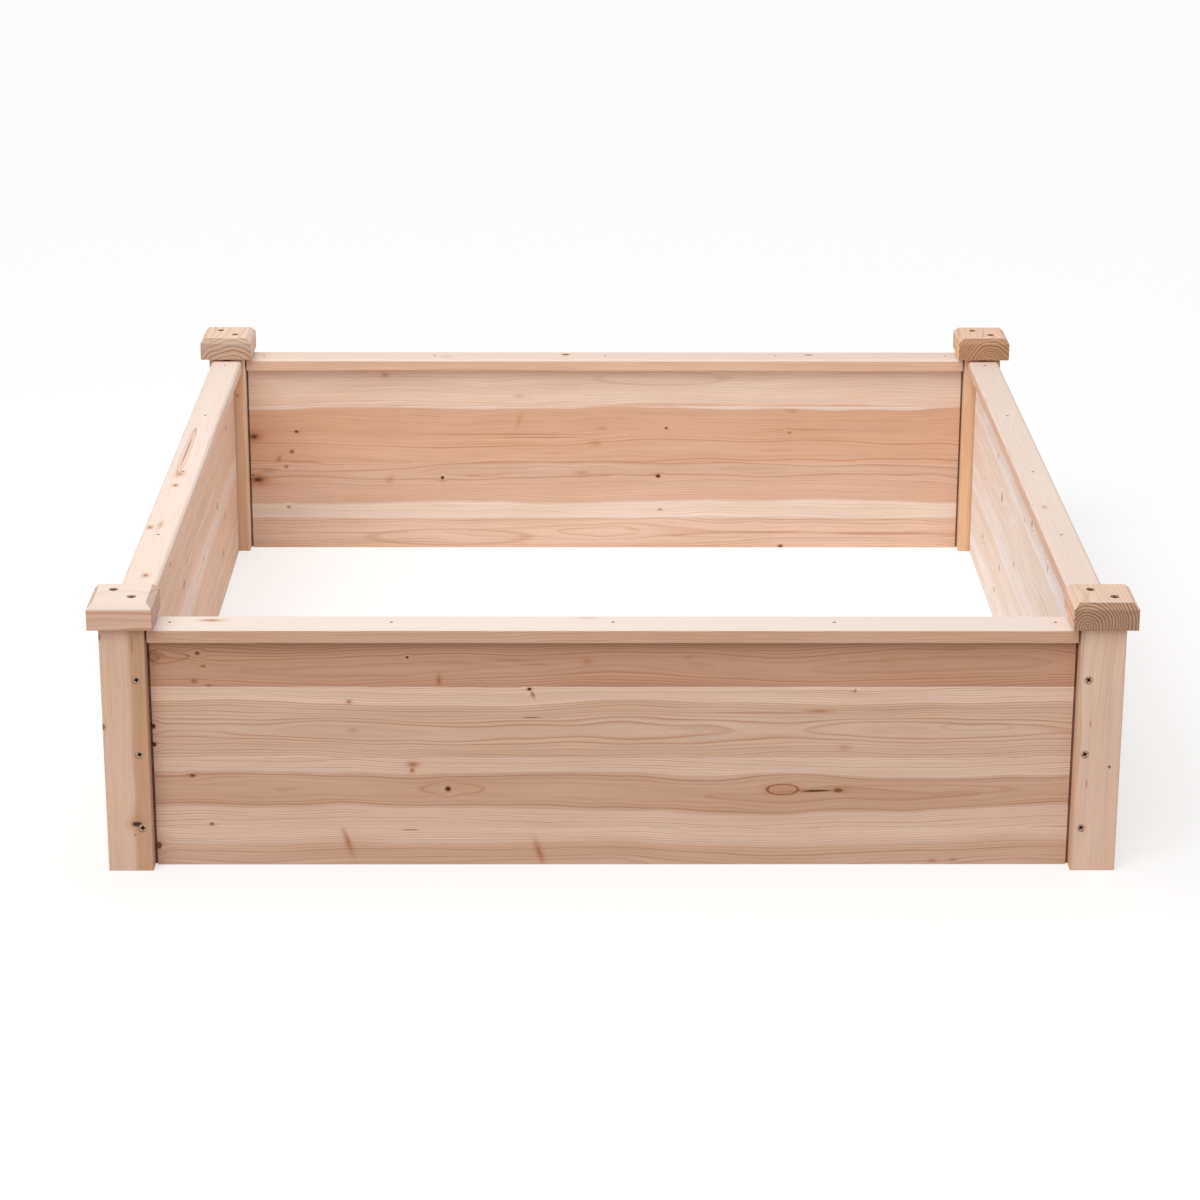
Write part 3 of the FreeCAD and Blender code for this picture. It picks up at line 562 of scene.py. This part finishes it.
# Places are along the rail, and then inwards from its middle line.
RAIL_MARKS = {
    "front": (("smudge", -470, 6, 16, 5, 0.8), ("smudge", -30, 14, 14, 3, 0.35)),
    "right": (("smudge", -150, 6, 8, 4, 0.5),),
    "back": (("knot", 60, -6, 6, 4, 0.95), ("knot", -310, -4, 6, 3, 0.8), ("smudge", 240, 6, 12, 5, 0.3)),
    "left": (("smudge", 411, 4, 9, 5, 0.8), ("knot", 411, 4, 3, 2, 0.6), ("smudge", 12, -3, 14, 8, 0.6),
             ("smudge", 60, -3, 8, 5, 0.8), ("smudge", 231, -14, 9, 5, 0.8), ("smudge", 222, -2, 18, 4, 0.5),
             ("streak", -91, -6, 95, 2.4, 0.6), ("lens", -88, -6, 105, 5, 0.55)),
}
for number, (wall, log) in enumerate(RAIL_LOGS.items()):
    node = "rail_" + wall
    turn = math.radians(WALL_TURNS[wall])
    fir = wood("planed_fir_" + node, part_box(node), (math.radians(-90), 0, turn), log,
               RAIL_SEED + number, RAIL_MARKS[wall])
    dress(node, RAIL_ARRIS, RAIL_SHORTEST_EDGE, fir)

# ----------------------------------------------------------------------------------------------
# Post caps. Square blocks of fir, sawn off a wide board, chamfered round the top and screwed down
# over the posts. Sawn ends show as brown end grain with the rings' arcs.
# ----------------------------------------------------------------------------------------------
CAP_ARRIS = 0.8 * MM
CAP_SHORTEST_EDGE = 20 * MM
CAP_SEED = 80.0

# "ends" and "arcs" are how brown the sawn ends are and how dark their arcs. "grain" is its direction.
# Each cap's top is painted paler by its own share, as painted light from above.
CAP_LOGS = {
    "front_left": {"pith": (10, -34), "heart_radius": 22, "heart": "D6AA91", "sap": "E1BBA6",
                   "painted_top_light": 0.75, "ring_gap": 4.0, "ends": 0.6, "arcs": 0.5, "grain": 0},
    "front_right": {"pith": (23, -10), "heart_radius": 60, "heart": "E6BA9F", "sap": "E9C1AA",
                    "painted_top_light": 0.35, "ring_gap": 3.4, "grain": 90},
    "back_right": {"pith": (-12, -30), "heart_radius": 60, "heart": "EAB991", "sap": "EAC1A4",
                   "painted_top_light": 0.3, "ring_gap": 4.6, "arcs": 0.7, "grain": 90},
    "back_left": {"pith": (-6, -40), "heart_radius": 46, "heart": "EBC9B2", "sap": "EED0BE",
                  "painted_top_light": 0.0, "ring_gap": 5.0, "ends": 0.9, "arcs": 0.4, "grain": 90},
}
for number, (corner, log) in enumerate(CAP_LOGS.items()):
    node = "cap_" + corner
    turn = math.radians(log["grain"])
    fir = wood("planed_fir_" + node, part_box(node), (0, 0, turn), log, CAP_SEED + number)
    dress(node, CAP_ARRIS, CAP_SHORTEST_EDGE, fir, SCREW_RIM)

# ----------------------------------------------------------------------------------------------
# Screws. Countersunk steel wood screws with a cross recess, zinc plated and passivated. Three in
# each outer face of a post hold the board tongues. Two browner ones hold each cap down.
# ----------------------------------------------------------------------------------------------
CORNERS = ("front_left", "front_right", "back_right", "back_left")
SCREW_HEAD, SCREW_SHANK = 10 * MM, 5 * MM
RECESS_LENGTH, RECESS_WIDTH, RECESS_DEPTH = 6.0 * MM, 2.0 * MM, 2.2 * MM
RECESS_TOP = -0.05 * MM   # what lies deeper in the head than this belongs to the recess
RECESS_SHADE = "1C1813"   # painted shadow down in the recess


def fastener_ends(nodes):
    """The middle of each fastener's outer end, the way it points, and its length, from the frame."""
    found = []
    for node in nodes:
        shape = bmesh.new()
        shape.from_mesh(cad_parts[node].data)
        bmesh.ops.remove_doubles(shape, verts=shape.verts, dist=SAME_POINT)
        left = set(shape.verts)
        while left:
            island, edge = set(), {left.pop()}
            while edge:
                island |= edge
                edge = {e.other_vert(v) for v in edge for e in v.link_edges} - island
            left -= island
            low = Vector([min(v.co[i] for v in island) for i in range(3)])
            high = Vector([max(v.co[i] for v in island) for i in range(3)])
            end, size = (low + high) / 2, high - low
            axis = max(range(3), key=lambda i: size[i])
            outwards = 1.0 if axis == 2 or end[axis] > 0 else -1.0
            end[axis] = high[axis] if outwards > 0 else low[axis]
            out = Vector((0, 0, 0))
            out[axis] = outwards
            found.append((end, out, size[axis]))
        shape.free()
    return found


def fastener_tree(name, with_recess):
    """Geometry nodes that stand a headed fastener on every point, turned along its out vector."""
    tree = bpy.data.node_groups.new(name, "GeometryNodeTree")
    tree.interface.new_socket("Geometry", in_out="INPUT", socket_type="NodeSocketGeometry")
    sizes = ["Head Diameter", "Neck Diameter", "Head Height", "Shank Diameter", "Length"]
    if with_recess:
        sizes += ["Recess Length", "Recess Width", "Recess Depth"]
    for size in sizes:
        tree.interface.new_socket(size, in_out="INPUT", socket_type="NodeSocketFloat")
    tree.interface.new_socket("Seed", in_out="INPUT", socket_type="NodeSocketInt")
    tree.interface.new_socket("Material", in_out="INPUT", socket_type="NodeSocketMaterial")
    tree.interface.new_socket("Geometry", in_out="OUTPUT", socket_type="NodeSocketGeometry")
    given = add_node(tree, "NodeGroupInput").outputs
    halves = {}
    for size in sizes:
        halves[size] = add_node(tree, "ShaderNodeMath", {0: given[size], 1: 0.5},
                                operation="MULTIPLY").outputs[0]
    head = add_node(tree, "GeometryNodeMeshCone",
                    {"Vertices": 32, "Radius Top": halves["Head Diameter"],
                     "Radius Bottom": halves["Neck Diameter"], "Depth": given["Head Height"]}).outputs[0]
    down = add_node(tree, "ShaderNodeMath", {0: given["Head Height"], 1: -1.0},
                    operation="MULTIPLY").outputs[0]
    down = add_node(tree, "ShaderNodeCombineXYZ", {"Z": down}).outputs[0]
    head = add_node(tree, "GeometryNodeTransform", {"Geometry": head, "Translation": down}).outputs[0]
    shank_length = add_node(tree, "ShaderNodeMath", {0: halves["Head Height"], 1: given["Length"]},
                            operation="SUBTRACT").outputs[0]
    shank_depth = add_node(tree, "ShaderNodeMath", {0: shank_length, 1: -1.0},
                           operation="MULTIPLY").outputs[0]
    shank = add_node(tree, "GeometryNodeMeshCone",
                     {"Vertices": 24, "Radius Top": halves["Shank Diameter"],
                      "Radius Bottom": halves["Shank Diameter"], "Depth": shank_depth}).outputs[0]
    low_end = add_node(tree, "ShaderNodeMath", {0: given["Length"], 1: -1.0}, operation="MULTIPLY").outputs[0]
    low_end = add_node(tree, "ShaderNodeCombineXYZ", {"Z": low_end}).outputs[0]
    shank = add_node(tree, "GeometryNodeTransform", {"Geometry": shank, "Translation": low_end}).outputs[0]
    body = add_node(tree, "GeometryNodeMeshBoolean", operation="UNION", solver="EXACT")
    for part in (head, shank):
        tree.links.new(part, body.inputs["Mesh 2"])
    body = body.outputs[0]
    if with_recess:
        deep = add_node(tree, "ShaderNodeMath", {0: given["Recess Depth"], 1: 2.0},
                        operation="MULTIPLY").outputs[0]
        cut = add_node(tree, "GeometryNodeMeshBoolean", {"Mesh 1": body}, operation="DIFFERENCE",
                       solver="EXACT")
        for sides in (("Recess Length", "Recess Width"), ("Recess Width", "Recess Length")):
            size = add_node(tree, "ShaderNodeCombineXYZ",
                            {"X": given[sides[0]], "Y": given[sides[1]], "Z": deep}).outputs[0]
            slot = add_node(tree, "GeometryNodeMeshCube", {"Size": size}).outputs[0]
            tree.links.new(slot, cut.inputs["Mesh 2"])
        body = cut.outputs[0]
        where = add_node(tree, "GeometryNodeInputPosition").outputs[0]
        parts = add_node(tree, "ShaderNodeSeparateXYZ", {0: where}).outputs
        from_axis = add_node(tree, "ShaderNodeCombineXYZ", {"X": parts["X"], "Y": parts["Y"]}).outputs[0]
        away = add_node(tree, "ShaderNodeVectorMath", {0: from_axis}, operation="LENGTH").outputs["Value"]
        near = add_node(tree, "FunctionNodeCompare", {0: away, 1: halves["Recess Length"]},
                        operation="LESS_EQUAL").outputs[0]
        below = add_node(tree, "FunctionNodeCompare", {0: parts["Z"], 1: RECESS_TOP},
                         operation="LESS_THAN").outputs[0]
        inside = add_node(tree, "FunctionNodeBooleanMath", {0: near, 1: below}, operation="AND").outputs[0]
        body = add_node(tree, "GeometryNodeStoreNamedAttribute",
                        {"Geometry": body, "Name": "recess", "Value": inside},
                        data_type="FLOAT", domain="FACE").outputs[0]
    out = add_node(tree, "GeometryNodeInputNamedAttribute", {"Name": "out"},
                   data_type="FLOAT_VECTOR").outputs[0]
    aim = add_node(tree, "FunctionNodeAlignRotationToVector", {"Vector": out}, axis="Z").outputs[0]
    angle = add_node(tree, "FunctionNodeRandomValue", {2: 0.0, 3: math.tau, "Seed": given["Seed"]},
                     data_type="FLOAT").outputs[1]
    spin = add_node(tree, "FunctionNodeAxisAngleToRotation", {"Axis": (0, 0, 1), "Angle": angle}).outputs[0]
    turned = add_node(tree, "FunctionNodeRotateRotation", {"Rotation": aim, "Rotate By": spin},
                      rotation_space="LOCAL").outputs[0]
    placed = add_node(tree, "GeometryNodeInstanceOnPoints",
                      {"Points": given["Geometry"], "Instance": body, "Rotation": turned}).outputs[0]
    real = add_node(tree, "GeometryNodeRealizeInstances", {"Geometry": placed}).outputs[0]
    done = add_node(tree, "GeometryNodeSetMaterial", {"Geometry": real,
                                                      "Material": given["Material"]}).outputs[0]
    add_node(tree, "NodeGroupOutput", {"Geometry": done})
    return tree


def set_fasteners(name, nodes, tree, sizes, material, seed):
    """One mesh of all the fasteners that these nodes hold, made by the tree where they lie."""
    ends = fastener_ends(nodes)
    points = bpy.data.meshes.new(name + "_points")
    points.from_pydata([end for end, _, _ in ends], [], [])
    out = points.attributes.new("out", "FLOAT_VECTOR", "POINT")
    out.data.foreach_set("vector", [x for _, direction, _ in ends for x in direction])
    maker = bpy.data.objects.new(name + "_maker", points)
    bpy.context.scene.collection.objects.link(maker)
    modifier = maker.modifiers.new("fasteners", "NODES")
    modifier.node_group = tree
    values = {**sizes, "Length": ends[0][2], "Seed": seed, "Material": material}
    for item in tree.interface.items_tree:
        if item.in_out == "INPUT" and item.name in values:
            modifier[item.identifier] = values[item.name]
    made = maker.evaluated_get(bpy.context.evaluated_depsgraph_get())
    mesh = bpy.data.meshes.new_from_object(made)
    maker.modifiers.remove(modifier)
    bpy.data.objects.remove(maker)
    mesh.name = name
    mesh.shade_flat()
    piece = bpy.data.objects.new(name, mesh)
    bpy.context.scene.collection.objects.link(piece)
    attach(piece, "root")
    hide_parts(*nodes)


def plated_steel(name, plating, shade, roughness):
    """Zinc plated steel, passivated: a dull metal of an uneven tint, with painted shadow down in a screw's
    recess.
    """
    material, tree = empty_material(name)
    place = add_node(tree, "ShaderNodeTexCoord").outputs["Object"]
    cloud = add_node(tree, "ShaderNodeTexNoise", {"Vector": place, "Scale": 1 / (3 * MM),
                                                  "Detail": 3.0}).outputs[0]
    colour = add_node(tree, "ShaderNodeMix", {0: cloud, 6: linear(plating), 7: linear(shade)},
                      data_type="RGBA").outputs[2]
    recess = add_node(tree, "ShaderNodeAttribute", attribute_name="recess").outputs["Fac"]
    colour = add_node(tree, "ShaderNodeMix", {0: recess, 6: colour, 7: linear(RECESS_SHADE)},
                      data_type="RGBA").outputs[2]
    rough = add_node(tree, "ShaderNodeMapRange",
                     {"Value": cloud, "To Min": roughness - 0.08, "To Max": roughness + 0.12}).outputs[0]
    bump = add_node(tree, "ShaderNodeBump", {"Strength": 0.2, "Distance": 0.05 * MM,
                                             "Height": cloud}).outputs[0]
    surface = add_node(tree, "ShaderNodeBsdfPrincipled",
                       {"Base Color": colour, "Metallic": 1.0, "Roughness": rough, "Normal": bump})
    add_node(tree, "ShaderNodeOutputMaterial", {"Surface": surface.outputs[0]})
    return material


yellow_zinc = plated_steel("yellow_passivated_zinc", "CFAD92", "987664", 0.42)
brown_zinc = plated_steel("brown_passivated_zinc", "B08A64", "745438", 0.45)
screw_tree = fastener_tree("cross_recess_screws", True)
screw_sizes = {
    "Head Diameter": SCREW_HEAD, "Neck Diameter": SCREW_SHANK, "Head Height": (SCREW_HEAD - SCREW_SHANK) / 2,
    "Shank Diameter": SCREW_SHANK, "Recess Length": RECESS_LENGTH, "Recess Width": RECESS_WIDTH,
    "Recess Depth": RECESS_DEPTH,
}
set_fasteners("post_screws", ["post_screws_" + corner for corner in CORNERS], screw_tree, screw_sizes,
              yellow_zinc, seed=5)
set_fasteners("cap_screws", ["cap_screws_" + corner for corner in CORNERS], screw_tree, screw_sizes,
              brown_zinc, seed=9)

# ----------------------------------------------------------------------------------------------
# Rail nails. Thin finishing nails of bright steel wire with small upset heads, five to a rail,
# driven from above and punched just under the surface.
# ----------------------------------------------------------------------------------------------
NAIL_HEAD, NAIL_WIRE, NAIL_HEAD_HEIGHT = 3.6 * MM, 2.0 * MM, 1.0 * MM
bright_wire = plated_steel("bright_steel_wire", "8E8880", "6A645C", 0.45)
nail_sizes = {
    "Head Diameter": NAIL_HEAD, "Neck Diameter": NAIL_HEAD, "Head Height": NAIL_HEAD_HEIGHT,
    "Shank Diameter": NAIL_WIRE,
}
nail_tree = fastener_tree("headed_nails", False)
set_fasteners("rail_nails", ["rail_pins_" + wall for wall in WALL_TURNS], nail_tree, nail_sizes,
              bright_wire, seed=2)

# ----------------------------------------------------------------------------------------------
# Studio. A white floor that runs out of sight and keeps the bed's soft shadow, under an even pale
# sky, with one wide light from the front left and a small softbox over the bed.
# ----------------------------------------------------------------------------------------------
FLOOR_HALF = 30.0
FLOOR_GLOW = 0.6          # of the white floor, for the eye only; the rest is lit and takes the shadow
SKY_FILL = 0.5
SUN_LEVEL = 0.5
SUN_FROM = Vector((-0.30, -0.58, 0.76))
SUN_SPREAD = math.radians(50)
SOFTBOX_LEVEL = 2.5
SOFTBOX_SIDE = 0.9
SOFTBOX_PLACE = Vector((-0.3, -0.15, 1.6))
INSIDE_BED = 0.56         # half the side of the white card laid inside the bed, which lights its walls
FLOOR_PAPER = "C6C4C0"    # what the floor outside the card throws back onto the bed
FLOOR_CARD = "F4F3F1"
FLOOR_SEEN = "AEAEAE"     # what the eye sees of both, on top of the glow

floor_mesh = bpy.data.meshes.new("floor")
floor_mesh.from_pydata([(x * FLOOR_HALF, y * FLOOR_HALF, 0) for x, y in ((-1, -1), (1, -1), (1, 1), (-1, 1))],
                       [], [(0, 1, 2, 3)])
floor = bpy.data.objects.new("floor", floor_mesh)
bpy.context.scene.collection.objects.link(floor)


def seen_directly(tree):
    """1 for what the camera sees, straight or in metal or glass, and 0 for light that falls on things."""
    path = add_node(tree, "ShaderNodeLightPath").outputs
    mirror = add_node(tree, "ShaderNodeMath", {0: path["Is Glossy Ray"], 1: path["Is Transmission Ray"]},
                      operation="MAXIMUM").outputs[0]
    return add_node(tree, "ShaderNodeMath", {0: path["Is Camera Ray"], 1: mirror},
                    operation="MAXIMUM").outputs[0]


paper, tree = empty_material("white_paper_floor")
eye = seen_directly(tree)
spot = add_node(tree, "ShaderNodeTexCoord").outputs["Object"]
spot = add_node(tree, "ShaderNodeVectorMath", {0: spot}, operation="ABSOLUTE").outputs[0]
sides = add_node(tree, "ShaderNodeSeparateXYZ", {0: spot}).outputs
reach = add_node(tree, "ShaderNodeMath", {0: sides["X"], 1: sides["Y"]}, operation="MAXIMUM").outputs[0]
card = add_node(tree, "ShaderNodeMath", {0: reach, 1: INSIDE_BED}, operation="LESS_THAN").outputs[0]
tone = add_node(tree, "ShaderNodeMix", {0: card, 6: linear(FLOOR_PAPER), 7: linear(FLOOR_CARD)},
                data_type="RGBA").outputs[2]
tone = add_node(tree, "ShaderNodeMix", {0: eye, 6: tone, 7: linear(FLOOR_SEEN)}, data_type="RGBA").outputs[2]
lit = add_node(tree, "ShaderNodeBsdfDiffuse", {"Color": tone}).outputs[0]
glow = add_node(tree, "ShaderNodeMath", {0: eye, 1: FLOOR_GLOW}, operation="MULTIPLY").outputs[0]
glow = add_node(tree, "ShaderNodeEmission", {"Strength": glow}).outputs[0]
both = add_node(tree, "ShaderNodeAddShader", {0: lit, 1: glow}).outputs[0]
add_node(tree, "ShaderNodeOutputMaterial", {"Surface": both})
floor_mesh.materials.append(paper)

world = bpy.data.worlds.new("pale_sky")
world.use_nodes = True
tree = world.node_tree
tree.nodes.clear()
level = add_node(tree, "ShaderNodeMath", {0: seen_directly(tree), 1: 1 - SKY_FILL, 2: SKY_FILL},
                 operation="MULTIPLY_ADD").outputs[0]
sky = add_node(tree, "ShaderNodeBackground", {"Color": (1, 1, 1, 1), "Strength": level}).outputs[0]
add_node(tree, "ShaderNodeOutputWorld", {"Surface": sky})
bpy.context.scene.world = world

key = bpy.data.lights.new("key", "SUN")
key.energy = SUN_LEVEL * math.pi
key.angle = SUN_SPREAD
key_object = bpy.data.objects.new("key", key)
key_object.rotation_euler = SUN_FROM.to_track_quat("Z", "Y").to_euler()
softbox = bpy.data.lights.new("softbox", "AREA")
softbox.energy = math.pi * SOFTBOX_LEVEL * SOFTBOX_SIDE ** 2
softbox.size = SOFTBOX_SIDE
softbox_object = bpy.data.objects.new("softbox", softbox)
softbox_object.location = SOFTBOX_PLACE
softbox_object.visible_camera = False
for lamp in (key_object, softbox_object):
    bpy.context.scene.collection.objects.link(lamp)
bpy.context.scene.view_settings.view_transform = "Standard"

# ----------------------------------------------------------------------------------------------
# Camera. It stands 4 m in front of the bed and 1.6 m up, and looks down on it at 17 degrees.
# ----------------------------------------------------------------------------------------------
CAMERA_PLACE = Vector((-0.0415, -3.986, 1.597))
CAMERA_YAW, CAMERA_PITCH, CAMERA_ROLL = 0.0075, 0.2968, 0.0028

camera_data = bpy.data.cameras.new("camera")
camera_data.sensor_width = 36.0
camera_data.lens = 93.45
camera_data.shift_y = -0.15
camera_data.clip_end = 100.0
camera = bpy.data.objects.new("camera", camera_data)
camera.matrix_world = (Matrix.Translation(CAMERA_PLACE) @ Matrix.Rotation(-CAMERA_YAW, 4, "Z")
                       @ Matrix.Rotation(math.pi / 2 - CAMERA_PITCH, 4, "X")
                       @ Matrix.Rotation(CAMERA_ROLL, 4, "Z"))
bpy.context.scene.collection.objects.link(camera)
bpy.context.scene.camera = camera
